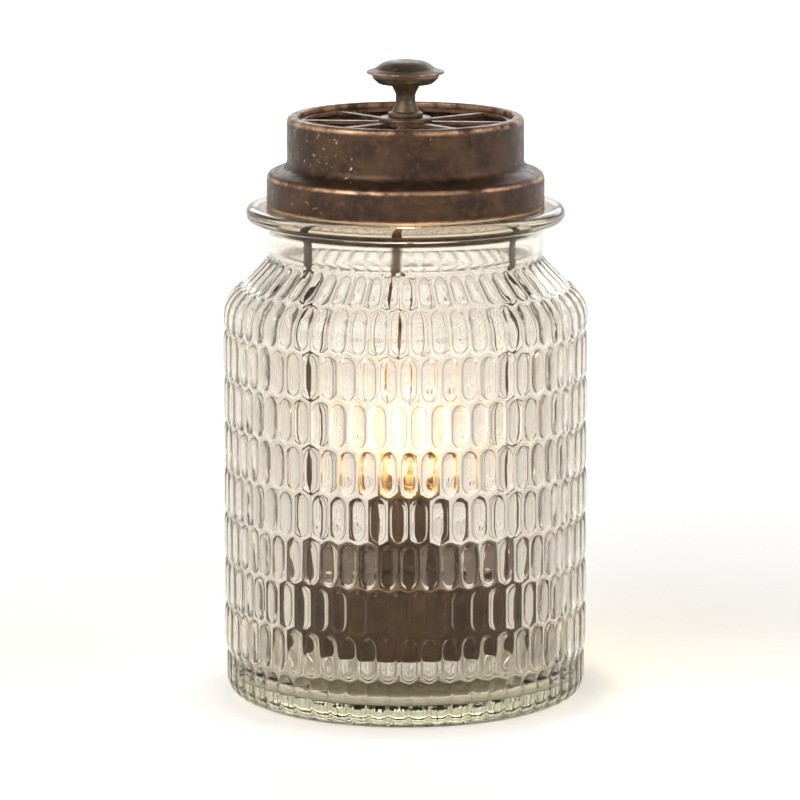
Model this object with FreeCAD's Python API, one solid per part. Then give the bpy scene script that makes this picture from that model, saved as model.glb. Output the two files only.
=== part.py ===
"""Mason jar lantern: a battery light hangs from a vented metal lid inside a pressed-glass jar.

Millimetres, +Z up. The origin is the centre of the jar's foot, on the surface that it stands on.
Angles are degrees counterclockwise from +X, seen from above. The front is -Y.
"""

import FreeCAD, Part
import math
import os

Vector = FreeCAD.Vector
ORIGIN = Vector(0, 0, 0)
UP = Vector(0, 0, 1)
GAP = 0.1  # between pieces that are fixed to each other side by side
FREE = 0.3  # between pieces that move past each other

# Glass jar
JAR_R = 70.0
JAR_WALL = 4.5
JAR_FOOT_R = 50.0
JAR_RECESS = 1.5
JAR_FLOOR_TOP = 8.0
NECK_R = 52.9
NECK_WALL = 3.4
SLOPE_START_Z = 154.3  # where the straight wall's line meets the 45 degree shoulder
LIP_R = 61.4
LIP_UNDER_Z = 185.2
RIM_Z = 191.0

# Lid, a spun metal shell
LID_WALL = 0.9
BAND_R = 53.3
BAND_LOW_Z = 191.4
BAND_TOP_Z = 203.4
COLLAR_R = 45.4
FLARE_TOP_Z = 206.5
LID_TOP_Z = 225.5
MOUTH_R = 41.2
HEM_Z = 223.3
GASKET_H = 2.0
SEAT_T = 1.2
SPIGOT_R = 48.6
SPIGOT_LOW_Z = 187.5
SEAT_FLANGE_H = 5.0

# Vent grille, under the hem of the lid
GRILLE_T = 1.2
GRILLE_R = 44.3
GRILLE_RING_R = 38.8
GRILLE_HUB_R = 10.4
SPOKE_COUNT = 8
SPOKE_W = 3.0
SPOKE_START = -94.5
GRILLE_LOW_Z = HEM_Z - GRILLE_T

# Knob
STUD_R = 2.0
HUB_PLATE_R = 10.2
HUB_PLATE_T = 1.6
STEM_FOOT_Z = HEM_Z + HUB_PLATE_T
STEM_TOP_Z = 237.6
STEM_FOOT_R = 6.7
STEM_HEAD_R = 5.4
STEM_WAIST_R = 3.8
DISH_R = 12.8
DISH_TOP_Z = 241.6
CAP_R = 14.9
CAP_TOP_Z = 246.9
STUD_TOP_Z = 243.0
WASHER_R = 5.6
WASHER_T = 1.0
NUT_FLATS = 7.0
NUT_T = 3.2
STUD_LOW_Z = 215.0

# Straps that hang the light from the lid
STRAP_ANGLES = {"strap_back": 94.6, "strap_front_left": 214.6, "strap_front_right": 334.6}
STRAP_W = 4.0
STRAP_T = 0.9
STRAP_R = 44.4
STRAP_BEND = 1.6
STRAP_TAB_R = 38.9
STRAP_FOOT_R = 33.5
TOP_RIVET_R = 41.1
FOOT_RIVET_R = 37.5
RIVET_SHANK_R = 1.2
RIVET_HEAD_R = 2.1
TOP_RIVET_HEAD_R = 1.6
RIVET_HEAD_T = 0.9

# Base, a drum that holds the batteries
DRUM_R = 46.0
DRUM_WALL = 1.2
DRUM_LOW_Z = 21.8
DRUM_TOP_Z = 49.8
DRUM_EDGE = 2.0
DRUM_IN_R = DRUM_R - DRUM_WALL
DRUM_CEILING_Z = DRUM_TOP_Z - DRUM_WALL
PLATE_T = 2.0
PLATE_TOP_Z = DRUM_LOW_Z + PLATE_T
BATTERY_HOLE_R = 38.3
SCREW_ANGLES = (30, 150, 270)
SCREW_R = 1.2
SCREW_HEAD_R = 1.9
SCREW_HEAD_T = 1.0
SCREW_LENGTH = 9.0
COLUMN_PLACE_R = 42.0
COLUMN_R = 2.0

# Twist-lock battery cover
COVER_R = 38.0
COVER_T = 1.8
COVER_TOP_Z = DRUM_LOW_Z + COVER_T
LUG_ANGLES = (90, 210, 330)
LUG_SPAN = 20.0
LUG_R = 40.5
LUG_ROOT_R = 35.0
LUG_LOW_Z = PLATE_TOP_Z + 0.4
LUG_TOP_Z = LUG_LOW_Z + 1.4
COVER_TURN = 30.0
NOTCH_R = LUG_R + 0.5
NOTCH_SPAN = LUG_SPAN + 4.0
COIN_SLOT = (22.0, 2.6, 1.0)
PAD_SIZE = (40.0, 44.0)
PAD_TOP_Z = 28.2

# Three AA cells in their tray
CELL_R = 7.25
CELL_LENGTH = 50.5
CELL_NIPPLE_R = 2.75
CELL_NIPPLE_H = 1.3
CELL_PITCH = 15.6
CELL_Z = 36.0
BAY_R = 7.4
BAY_HALF_LENGTH = 27.6
TRAY_WALL = 1.2
TRAY_LOW_Z = 30.0
TRAY_TOP_Z = 45.3
FLANGE_R = 44.3
FLANGE_TOP_Z = 48.3
CONTACT_T = 0.4
CONTACT_W = 9.0
LEAF_REACH = 4.2
LEAF_FLAT = 1.0
CELLS = {"battery_left": -1, "battery_middle": 0, "battery_right": 1}

# Circuit board
BOARD_X = (26.0, 40.0)
BOARD_HALF_Y = 13.0
BOARD_LOW_Z = 43.0
BOARD_TOP_Z = 44.2
BOARD_SCREW_PLACES = ((29.0, -9.5), (29.0, 9.5))
BOARD_SCREW_R = 1.0
BOARD_SCREW_HEAD_T = 0.8
BOSS_R = 2.4
CHIP_SIZE = (5.0, 4.0, 1.6)
CHIP_X = 33.0

# Slide switch on the bottom plate
SWITCH_ANGLE = 300.0
SWITCH_PLACE_R = 42.1
SWITCH_SIZE = (4.0, 11.0, 5.0)
SWITCH_TRAVEL = 2.5
SWITCH_CAVITY = (2.8, 8.4, 2.6)
SWITCH_SLOT = (2.0, 6.6)
SWITCH_FOOT = (2.2, 5.0, 1.6)
SWITCH_KEY = (1.4, 3.2)
SWITCH_FLOOR = 0.8
SWITCH_KEY_LOW_Z = 21.0

# Lamp holder
HOLDER_R = 12.0
HOLDER_WALL = 1.2
HOLDER_TOP_Z = 84.0
HOLDER_BASE_R = 13.8
HOLDER_BASE_T = 1.6
HOLDER_FLOOR_Z = 52.0
TAIL_R = 5.0
TAIL_BORE_R = 3.0
TAIL_LOW_Z = 46.9
LOCK_RING_R = 9.0
FLANGE_HOLE_R = 10.0
INSULATOR_TOP_Z = 80.0
INSULATOR_FLOOR_Z = 57.5
CONTACT_PLATE_T = 0.6
CONTACT_TONGUE_W = 3.0
THREAD_SHELL_R = 8.0
THREAD_SHELL_IN_R = 7.3
LEAD_R = 0.6
LEAD_SPREAD = 1.5
LEAD_Z = 46.1
LEAD_BEND = 1.8
LEAD_END_X = 31.0

# Bulb with a small screw cap
CAP_THREAD_R = 7.0
CAP_ROOT_R = 6.5
CAP_IN_R = 6.1
CAP_LOW_Z = 62.0
THREAD_PITCH = 2.8
THREAD_TURNS = 6
CAP_SKIRT_Z = CAP_LOW_Z + THREAD_TURNS * THREAD_PITCH
CAP_HEAD_Z = 87.0
TIP_LOW_Z = 59.3
TIP_R = 2.3
TIP_T = 0.9
CAP_FILL_T = 1.5
GLOBE_R = 14.5
GLOBE_Z = 106.0
GLOBE_WALL = 0.7
GLOBE_NECK_R = 5.9
GLOBE_NECK_Z = 83.0
GLOBE_BLEND = 6.0
FILAMENT_COUNT = 4
FILAMENT_START = 45
FILAMENT_R = 0.9
FILAMENT_LOW = (6.0, 95.0)
FILAMENT_HIGH = (2.6, 112.0)
STEM_TIP_Z = 99.0
GLASS_STEM_R = 1.7
SUPPORT_WIRE_R = 0.3


def rounded_wire(corners):
    """A closed wire of straight runs, each corner (point, radius) rounded by a tangent arc."""
    edges = []
    ends = []
    for i, (corner, radius) in enumerate(corners):
        back = (corners[i - 1][0] - corner).normalize()
        ahead = (corners[(i + 1) % len(corners)][0] - corner).normalize()
        if radius == 0:
            ends.append((corner, corner))
            continue
        half = back.getAngle(ahead) / 2
        reach = radius / math.tan(half)
        middle = (back + ahead).normalize()
        top = corner + middle * (radius / math.sin(half) - radius)
        ends.append((corner + back * reach, corner + ahead * reach))
        edges.append(Part.Arc(ends[-1][0], top, ends[-1][1]).toShape())
    for i, (start, _) in enumerate(ends):
        previous = ends[i - 1][1]
        if previous.distanceToPoint(start) > 1e-6:
            edges.append(Part.LineSegment(previous, start).toShape())
    return Part.Wire(Part.__sortEdges__(edges))


def turned(*profile):
    """A solid of revolution about Z. Each profile corner is (radius, z) or (radius, z, rounding)."""
    corners = [(Vector(p[0], 0, p[1]), p[2] if len(p) > 2 else 0) for p in profile]
    solid = Part.Face(rounded_wire(corners)).revolve(ORIGIN, UP, 360)
    return Part.Solid(Part.Shell(solid.Faces)) if solid.ShapeType != "Solid" else solid


def bent_strip(width, *profile):
    """An X-Z profile, as turned() takes it, extruded to a strip of this width across Y."""
    corners = [(Vector(p[0], -width / 2, p[1]), p[2] if len(p) > 2 else 0) for p in profile]
    return Part.Face(rounded_wire(corners)).extrude(Vector(0, width, 0))


def disc(radius, low, high, x=0.0, y=0.0):
    return Part.makeCylinder(radius, high - low, Vector(x, y, low))


def ring(outer, inner, low, high):
    return disc(outer, low, high).cut(disc(inner, low - 1, high + 1))


def block(x_range, y_range, z_range):
    size = [b - a for a, b in (x_range, y_range, z_range)]
    return Part.makeBox(*size, Vector(x_range[0], y_range[0], z_range[0]))


def centred_block(size_x, size_y, low, high, x=0.0, y=0.0):
    return block((x - size_x / 2, x + size_x / 2), (y - size_y / 2, y + size_y / 2), (low, high))


def sector(outer, inner, low, high, angle, span):
    """A piece of a ring that spans this many degrees, with its middle at angle."""
    wedge = Part.makeCylinder(outer, high - low, Vector(0, 0, low), UP, span)
    wedge.rotate(ORIGIN, UP, angle - span / 2)
    return wedge.cut(disc(inner, low - 1, high + 1))


def turned_about(shape, angle):
    copy = shape.copy()
    copy.rotate(ORIGIN, UP, angle)
    return copy


def at_radius(make, radius, angles):
    """Copies of a shape made at (radius, 0), one at each angle, as separate solids."""
    return Part.makeCompound([turned_about(make(radius), a) for a in angles])


def screw(x, y, low):
    head = disc(SCREW_HEAD_R, low, low + SCREW_HEAD_T, x, y)
    return head.fuse(disc(SCREW_R, low, low + SCREW_LENGTH, x, y))


# Jar


def glass_jar():
    slope_in = SLOPE_START_Z - JAR_WALL * (math.sqrt(2) - 1)
    neck_foot = SLOPE_START_Z + JAR_R - NECK_R
    neck_in_r = NECK_R - NECK_WALL
    neck_foot_in = slope_in + (JAR_R - JAR_WALL) - neck_in_r
    return turned(
        (JAR_FOOT_R, 0, 0.8), (JAR_R, 0, 8), (JAR_R, SLOPE_START_Z, 12), (NECK_R, neck_foot, 4),
        (NECK_R, LIP_UNDER_Z, 4.5), (LIP_R, LIP_UNDER_Z, 2.8), (LIP_R, RIM_Z, 2.6), (neck_in_r, RIM_Z, 1.6),
        (neck_in_r, neck_foot_in, 6), (JAR_R - JAR_WALL, slope_in, 7.5),
        (JAR_R - JAR_WALL, JAR_FLOOR_TOP, 10), (0, JAR_FLOOR_TOP), (0, JAR_RECESS),
        (JAR_FOOT_R, JAR_RECESS, 0.4),
    )


# Lid


def lid_shell():
    band_in = BAND_R - LID_WALL
    collar_in = COLLAR_R - LID_WALL
    return turned(
        (BAND_R, BAND_LOW_Z, 0.3), (BAND_R, BAND_TOP_Z, 3.2), (COLLAR_R, FLARE_TOP_Z, 3.4),
        (COLLAR_R, LID_TOP_Z, 1.9), (MOUTH_R, LID_TOP_Z, 0.8), (MOUTH_R, HEM_Z, 0.2),
        (MOUTH_R + LID_WALL, HEM_Z, 0.2), (MOUTH_R + LID_WALL, LID_TOP_Z - LID_WALL, 0.2),
        (collar_in, LID_TOP_Z - LID_WALL, 1.0), (collar_in, FLARE_TOP_Z - LID_WALL, 4.3),
        (band_in, BAND_TOP_Z - LID_WALL, 2.3), (band_in, BAND_LOW_Z, 0.3),
    )


def vent_grille():
    plate = ring(GRILLE_R, GRILLE_RING_R, GRILLE_LOW_Z, HEM_Z)
    plate = plate.fuse(disc(GRILLE_HUB_R, GRILLE_LOW_Z, HEM_Z))
    for i in range(SPOKE_COUNT):
        reach = (GRILLE_HUB_R - 1, GRILLE_RING_R + 1)
        spoke = block(reach, (-SPOKE_W / 2, SPOKE_W / 2), (GRILLE_LOW_Z, HEM_Z))
        plate = plate.fuse(turned_about(spoke, SPOKE_START + i * 360 / SPOKE_COUNT))
    plate = plate.cut(disc(STUD_R + GAP, GRILLE_LOW_Z - 1, HEM_Z + 1))
    for angle in STRAP_ANGLES.values():
        hole = disc(RIVET_SHANK_R + GAP / 2, GRILLE_LOW_Z - 1, HEM_Z + 1, TOP_RIVET_R)
        plate = plate.cut(turned_about(hole, angle))
    return plate.removeSplitter()


def seat_ring():
    low = RIM_Z + GASKET_H
    outer = BAND_R - LID_WALL - GAP
    return turned(
        (SPIGOT_R, SPIGOT_LOW_Z, 0.3), (SPIGOT_R, low), (outer, low), (outer, low + SEAT_FLANGE_H, 0.3),
        (outer - SEAT_T, low + SEAT_FLANGE_H, 0.3), (outer - SEAT_T, low + SEAT_T, 0.5),
        (SPIGOT_R - SEAT_T, low + SEAT_T, 1.2), (SPIGOT_R - SEAT_T, SPIGOT_LOW_Z, 0.3),
    )


def rim_gasket():
    outer = BAND_R - LID_WALL - GAP
    return turned(
        (outer, RIM_Z, 0.4), (outer, RIM_Z + GASKET_H), (SPIGOT_R + GAP, RIM_Z + GASKET_H),
        (SPIGOT_R + GAP, RIM_Z, 0.4),
    )


# Knob


def knob_hub_plate():
    plate = turned((0, HEM_Z), (HUB_PLATE_R, HEM_Z, 0.2), (HUB_PLATE_R, STEM_FOOT_Z, 0.8), (0, STEM_FOOT_Z))
    return plate.cut(disc(STUD_R + GAP, HEM_Z - 1, STEM_FOOT_Z + 1))


def knob_stem():
    middle = (STEM_FOOT_Z + STEM_TOP_Z) / 2
    return turned(
        (0, STUD_LOW_Z), (STUD_R, STUD_LOW_Z, 0.3), (STUD_R, STEM_FOOT_Z), (STEM_FOOT_R, STEM_FOOT_Z, 0.5),
        (STEM_FOOT_R, STEM_FOOT_Z + 1.7, 0.6), (STEM_FOOT_R - 1.4, STEM_FOOT_Z + 2.2, 0.6),
        (STEM_WAIST_R, middle - 0.6, 5), (STEM_WAIST_R, middle + 2.6, 3),
        (STEM_HEAD_R, STEM_TOP_Z - 0.7, 0.4),
        (STEM_HEAD_R, STEM_TOP_Z), (STUD_R, STEM_TOP_Z), (STUD_R, STUD_TOP_Z, 0.3), (0, STUD_TOP_Z),
    )


def knob_dish():
    dish = turned(
        (0, STEM_TOP_Z), (DISH_R - 2.6, STEM_TOP_Z, 2.5), (DISH_R, DISH_TOP_Z - 1.6, 1.6),
        (DISH_R, DISH_TOP_Z), (0, DISH_TOP_Z),
    )
    return dish.cut(disc(STUD_R + GAP, STEM_TOP_Z - 1, DISH_TOP_Z + 1))


def knob_cap():
    cap = turned(
        (0, DISH_TOP_Z), (CAP_R, DISH_TOP_Z + 0.1, 0.3), (CAP_R, DISH_TOP_Z + 0.9, 0.3),
        (CAP_R - 3.1, DISH_TOP_Z + 1.9, 3), (CAP_R - 6.9, CAP_TOP_Z - 0.6, 8), (0, CAP_TOP_Z),
    )
    return cap.cut(disc(STUD_R + GAP, DISH_TOP_Z - 1, STUD_TOP_Z + GAP))


def knob_lock_washer():
    return ring(WASHER_R, STUD_R + GAP, GRILLE_LOW_Z - WASHER_T, GRILLE_LOW_Z)


def knob_nut():
    top = GRILLE_LOW_Z - WASHER_T
    corner_r = NUT_FLATS / math.sqrt(3)
    corners = [Vector(corner_r, 0, top - NUT_T)]
    corners += [turned_about(Part.Vertex(corners[0]), 60 * i).Point for i in range(1, 7)]
    prism = Part.Face(Part.makePolygon(corners)).extrude(Vector(0, 0, NUT_T))
    return prism.cut(disc(STUD_R + GAP / 2, top - NUT_T - 1, top + 1))


# Straps and their rivets


def strap():
    low, high = DRUM_TOP_Z, GRILLE_LOW_Z
    inner = STRAP_R - STRAP_T
    strip = bent_strip(
        STRAP_W, (STRAP_FOOT_R, low), (STRAP_R, low, STRAP_BEND), (STRAP_R, high, STRAP_BEND),
        (STRAP_TAB_R, high), (STRAP_TAB_R, high - STRAP_T), (inner, high - STRAP_T, STRAP_BEND - STRAP_T),
        (inner, low + STRAP_T, STRAP_BEND - STRAP_T), (STRAP_FOOT_R, low + STRAP_T),
    )
    for place, z in ((FOOT_RIVET_R, low), (TOP_RIVET_R, high)):
        strip = strip.cut(disc(RIVET_SHANK_R + GAP / 2, z - 2, z + 2, place))
    return strip


def strap_rivets_top():
    def rivet(x):
        under = GRILLE_LOW_Z - STRAP_T
        head = disc(TOP_RIVET_HEAD_R, under - RIVET_HEAD_T, under, x)
        return head.fuse(disc(RIVET_SHANK_R, under - RIVET_HEAD_T, HEM_Z, x))

    return at_radius(rivet, TOP_RIVET_R, STRAP_ANGLES.values())


def strap_rivets_bottom():
    def rivet(x):
        over, under = DRUM_TOP_Z + STRAP_T, DRUM_CEILING_Z
        shank = disc(RIVET_SHANK_R, under - RIVET_HEAD_T, over + RIVET_HEAD_T, x)
        heads = disc(RIVET_HEAD_R, over, over + RIVET_HEAD_T, x)
        return shank.fuse(heads).fuse(disc(RIVET_HEAD_R, under - RIVET_HEAD_T, under, x))

    return at_radius(rivet, FOOT_RIVET_R, STRAP_ANGLES.values())


# Base


def battery_housing():
    cup = turned(
        (DRUM_R, DRUM_LOW_Z, 0.3), (DRUM_R, DRUM_TOP_Z, DRUM_EDGE), (0, DRUM_TOP_Z), (0, DRUM_CEILING_Z),
        (DRUM_IN_R, DRUM_CEILING_Z, DRUM_EDGE - DRUM_WALL), (DRUM_IN_R, DRUM_LOW_Z, 0.3),
    )
    cup = cup.cut(disc(TAIL_R + GAP, DRUM_CEILING_Z - 1, DRUM_TOP_Z + 1))
    for angle in STRAP_ANGLES.values():
        hole = disc(RIVET_SHANK_R + GAP / 2, DRUM_CEILING_Z - 1, DRUM_TOP_Z + 1, FOOT_RIVET_R)
        cup = cup.cut(turned_about(hole, angle))
    return cup


def base_plate():
    plate = ring(DRUM_IN_R - GAP, BATTERY_HOLE_R, DRUM_LOW_Z, PLATE_TOP_Z)
    for angle in LUG_ANGLES:
        notch = sector(NOTCH_R, LUG_ROOT_R, DRUM_LOW_Z - 1, PLATE_TOP_Z + 1, angle + COVER_TURN, NOTCH_SPAN)
        plate = plate.cut(notch)
    for angle in SCREW_ANGLES:
        hole = disc(SCREW_R + GAP, DRUM_LOW_Z - 1, PLATE_TOP_Z + 1, COLUMN_PLACE_R)
        sink = disc(SCREW_HEAD_R + GAP, DRUM_LOW_Z - 1, DRUM_LOW_Z + SCREW_HEAD_T, COLUMN_PLACE_R)
        plate = plate.cut(turned_about(hole.fuse(sink), angle))
    slot = centred_block(*SWITCH_SLOT, DRUM_LOW_Z - 1, PLATE_TOP_Z + 1, SWITCH_PLACE_R)
    return plate.cut(turned_about(slot, SWITCH_ANGLE))


def base_plate_screws():
    return at_radius(lambda x: screw(x, 0, DRUM_LOW_Z), COLUMN_PLACE_R, SCREW_ANGLES)


def battery_cover():
    cover = turned((0, DRUM_LOW_Z), (COVER_R, DRUM_LOW_Z, 0.4), (COVER_R, COVER_TOP_Z), (0, COVER_TOP_Z))
    for angle in LUG_ANGLES:
        root = sector(COVER_R, LUG_ROOT_R, COVER_TOP_Z, LUG_TOP_Z, angle, LUG_SPAN)
        lug = sector(LUG_R, LUG_ROOT_R, LUG_LOW_Z, LUG_TOP_Z, angle, LUG_SPAN)
        cover = cover.fuse(root).fuse(lug)
    length, width, depth = COIN_SLOT
    cover = cover.cut(centred_block(length, width, DRUM_LOW_Z - 1, DRUM_LOW_Z + depth))
    return cover.removeSplitter()


def cover_pad():
    return centred_block(*PAD_SIZE, COVER_TOP_Z, PAD_TOP_Z)


# Battery tray, cells and contacts


def cell_bay(x):
    """The room for one cell, open downwards."""
    reach = (-BAY_HALF_LENGTH, BAY_HALF_LENGTH)
    tube = Part.makeCylinder(BAY_R, 2 * BAY_HALF_LENGTH, Vector(x, reach[0], CELL_Z), Vector(0, 1, 0))
    return tube.fuse(block((x - BAY_R, x + BAY_R), reach, (TRAY_LOW_Z - 1, CELL_Z)))


def battery_tray():
    half_x = CELL_PITCH + BAY_R + TRAY_WALL
    half_y = BAY_HALF_LENGTH + TRAY_WALL
    tray = block((-half_x, half_x), (-half_y, half_y), (TRAY_LOW_Z, TRAY_TOP_Z))
    for side in CELLS.values():
        tray = tray.cut(cell_bay(side * CELL_PITCH))
    flange = disc(FLANGE_R, TRAY_TOP_Z, FLANGE_TOP_Z).cut(disc(FLANGE_HOLE_R, TRAY_TOP_Z, FLANGE_TOP_Z))
    channel = block((0, LEAD_END_X + 2), (-3, 3), (TRAY_TOP_Z, FLANGE_TOP_Z))
    tray = tray.fuse(flange.cut(channel))
    for angle in SCREW_ANGLES:
        column = disc(COLUMN_R, PLATE_TOP_Z, FLANGE_TOP_Z, COLUMN_PLACE_R)
        bore = disc(SCREW_R + GAP / 2, PLATE_TOP_Z - 1, DRUM_LOW_Z + SCREW_LENGTH + 1, COLUMN_PLACE_R)
        tray = tray.fuse(turned_about(column, angle)).cut(turned_about(bore, angle))
    for angle in STRAP_ANGLES.values():
        room = disc(RIVET_HEAD_R + FREE, TRAY_TOP_Z - 1, FLANGE_TOP_Z + 1, FOOT_RIVET_R)
        tray = tray.cut(turned_about(room, angle))
    for x, y in BOARD_SCREW_PLACES:
        boss = disc(BOSS_R, BOARD_TOP_Z, TRAY_TOP_Z, x, y)
        bore = disc(BOARD_SCREW_R + GAP / 2, BOARD_TOP_Z - 1, FLANGE_TOP_Z - 1, x, y)
        tray = tray.fuse(boss).cut(bore)
    return tray.removeSplitter()


def cell(side):
    """One AA cell along Y. The middle one points the other way."""
    x = side * CELL_PITCH
    way = 1 if side else -1
    foot = Vector(x, -way * CELL_LENGTH / 2, CELL_Z)
    along = Vector(0, way, 0)
    can = Part.makeCylinder(CELL_R, CELL_LENGTH - CELL_NIPPLE_H, foot, along)
    can = can.makeFillet(0.7, can.Edges)
    nipple_foot = foot + along * (CELL_LENGTH - CELL_NIPPLE_H - 1)
    return can.fuse(Part.makeCylinder(CELL_NIPPLE_R, CELL_NIPPLE_H + 1, nipple_foot, along))


def contact_plate(side, way):
    """The flat plate at one end of a bay. way is the end's side along Y."""
    x = side * CELL_PITCH
    ends = sorted((way * BAY_HALF_LENGTH, way * (BAY_HALF_LENGTH - CONTACT_T)))
    half = CONTACT_W / 2
    return block((x - half, x + half), ends, (CELL_Z - half, CELL_Z + half))


def flat_contacts():
    """A plate with a round boss that meets each cell's nipple."""
    contacts = []
    for side in CELLS.values():
        way = 1 if side else -1
        face = Vector(side * CELL_PITCH, way * CELL_LENGTH / 2, CELL_Z)
        height = BAY_HALF_LENGTH - CELL_LENGTH / 2
        boss = Part.makeCylinder(CELL_NIPPLE_R, height, face, Vector(0, way, 0))
        contacts.append(contact_plate(side, way).fuse(boss).removeSplitter())
    return Part.makeCompound(contacts)


def spring_contacts():
    """A plate with a bowed leaf that presses on each cell's flat end."""
    contacts = []
    back = BAY_HALF_LENGTH - CONTACT_T
    crest = CELL_LENGTH / 2
    inside, flat = LEAF_REACH - 0.6, LEAF_FLAT - 0.2
    bow = [(back, -LEAF_REACH), (crest, -LEAF_FLAT, 1), (crest, LEAF_FLAT, 1), (back, LEAF_REACH),
           (back, inside), (crest + CONTACT_T, flat, 0.6), (crest + CONTACT_T, -flat, 0.6), (back, -inside)]
    leaf = bent_strip(CONTACT_W / 2, *bow)
    for side in CELLS.values():
        way = -1 if side else 1
        piece = turned_about(leaf, 90 * way)
        piece.translate(Vector(side * CELL_PITCH, 0, CELL_Z))
        contacts.append(contact_plate(side, way).fuse(piece).removeSplitter())
    return Part.makeCompound(contacts)


# Circuit board, switch and leads


def circuit_board():
    board = block(BOARD_X, (-BOARD_HALF_Y, BOARD_HALF_Y), (BOARD_LOW_Z, BOARD_TOP_Z))
    for x, y in BOARD_SCREW_PLACES:
        board = board.cut(disc(BOARD_SCREW_R + GAP, BOARD_LOW_Z - 1, BOARD_TOP_Z + 1, x, y))
    return board


def driver_chip():
    size_x, size_y, height = CHIP_SIZE
    return centred_block(size_x, size_y, BOARD_LOW_Z - height, BOARD_LOW_Z, CHIP_X)


def board_screws():
    screws = []
    for x, y in BOARD_SCREW_PLACES:
        shank = disc(BOARD_SCREW_R, BOARD_LOW_Z, TRAY_TOP_Z, x, y)
        screws.append(shank.fuse(disc(SCREW_HEAD_R, BOARD_LOW_Z - BOARD_SCREW_HEAD_T, BOARD_LOW_Z, x, y)))
    return Part.makeCompound(screws)


def switch_case():
    low, high = PLATE_TOP_Z, PLATE_TOP_Z + SWITCH_SIZE[2]
    case = centred_block(SWITCH_SIZE[0], SWITCH_SIZE[1], low, high, SWITCH_PLACE_R)
    floor = low + SWITCH_FLOOR
    case = case.cut(centred_block(*SWITCH_CAVITY[:2], floor, floor + SWITCH_CAVITY[2], SWITCH_PLACE_R))
    case = case.cut(centred_block(*SWITCH_SLOT, low - 1, floor + 1, SWITCH_PLACE_R))
    return turned_about(case, SWITCH_ANGLE)


def switch_slider():
    start = -SWITCH_TRAVEL / 2
    foot_low = PLATE_TOP_Z + SWITCH_FLOOR + FREE
    foot_high = foot_low + SWITCH_FOOT[2]
    foot = centred_block(*SWITCH_FOOT[:2], foot_low, foot_high, SWITCH_PLACE_R, start)
    key = centred_block(*SWITCH_KEY, SWITCH_KEY_LOW_Z, foot_low + 0.5, SWITCH_PLACE_R, start)
    return turned_about(foot.fuse(key).removeSplitter(), SWITCH_ANGLE)


def lead(y):
    """A wire from the lamp holder's contacts, down its tail and along the channel to the board."""
    corners = [Vector(0, y, INSULATOR_FLOOR_Z), Vector(0, y, LEAD_Z), Vector(LEAD_END_X, y, LEAD_Z),
               Vector(LEAD_END_X, y, BOARD_TOP_Z)]
    edges = []
    start = corners[0]
    for before, corner, after in zip(corners, corners[1:], corners[2:]):
        back = (before - corner).normalize()
        ahead = (after - corner).normalize()
        enter, leave = corner + back * LEAD_BEND, corner + ahead * LEAD_BEND
        top = corner + (back + ahead) * (LEAD_BEND * (1 - math.sqrt(0.5)))
        edges += [Part.LineSegment(start, enter).toShape(), Part.Arc(enter, top, leave).toShape()]
        start = leave
    edges.append(Part.LineSegment(start, corners[-1]).toShape())
    section = Part.Wire(Part.makeCircle(LEAD_R, corners[0], UP))
    return Part.Wire(edges).makePipeShell([section], True, False)


# Lamp holder


def lamp_holder():
    inner = HOLDER_R - HOLDER_WALL
    return turned(
        (TAIL_R, TAIL_LOW_Z, 0.3), (TAIL_R, DRUM_TOP_Z), (HOLDER_BASE_R, DRUM_TOP_Z, 0.3),
        (HOLDER_BASE_R, DRUM_TOP_Z + HOLDER_BASE_T, 0.8), (HOLDER_R, DRUM_TOP_Z + HOLDER_BASE_T + 0.8, 0.8),
        (HOLDER_R, HOLDER_TOP_Z, 0.5),
        (inner, HOLDER_TOP_Z, 0.5), (inner, HOLDER_FLOOR_Z), (TAIL_BORE_R, HOLDER_FLOOR_Z, 0.4),
        (TAIL_BORE_R, TAIL_LOW_Z, 0.3),
    )


def holder_lock_ring():
    return ring(LOCK_RING_R, TAIL_R + GAP / 2, TAIL_LOW_Z, DRUM_CEILING_Z)


def holder_insulator():
    outer = HOLDER_R - HOLDER_WALL - GAP
    seat = THREAD_SHELL_R + GAP
    return turned(
        (TAIL_BORE_R, HOLDER_FLOOR_Z), (outer, HOLDER_FLOOR_Z), (outer, INSULATOR_TOP_Z, 0.5),
        (seat, INSULATOR_TOP_Z, 0.3), (seat, INSULATOR_FLOOR_Z), (TAIL_BORE_R, INSULATOR_FLOOR_Z),
    )


def holder_thread_shell():
    return ring(THREAD_SHELL_R, THREAD_SHELL_IN_R, INSULATOR_FLOOR_Z + 1.6, INSULATOR_TOP_Z - 1)


def holder_centre_contact():
    """A round plate over the leads' ends, with a raised tongue that meets the bulb's tip."""
    top = TIP_LOW_Z - FREE
    plate = disc(THREAD_SHELL_IN_R - 1, INSULATOR_FLOOR_Z, INSULATOR_FLOOR_Z + CONTACT_PLATE_T)
    tongue = centred_block(CONTACT_TONGUE_W, CONTACT_TONGUE_W, INSULATOR_FLOOR_Z + 0.5, top)
    return plate.fuse(tongue).removeSplitter()


# Bulb


def bulb_cap():
    """A thin brass cap with rounded thread ridges."""
    ridges = []
    for i in range(THREAD_TURNS):
        low = CAP_LOW_Z + i * THREAD_PITCH
        ridges += [(CAP_ROOT_R, low + 0.4, 0.3), (CAP_THREAD_R, low + 1.0, 0.5),
                   (CAP_THREAD_R, low + 1.8, 0.5), (CAP_ROOT_R, low + 2.4, 0.3)]
    return turned(
        (CAP_IN_R, CAP_LOW_Z), (CAP_ROOT_R, CAP_LOW_Z), *ridges, (CAP_ROOT_R, CAP_SKIRT_Z + 0.8, 0.2),
        (CAP_THREAD_R, CAP_SKIRT_Z + 1.4, 0.3), (CAP_THREAD_R, CAP_HEAD_Z, 0.2), (CAP_IN_R, CAP_HEAD_Z, 0.2),
    )


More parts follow.
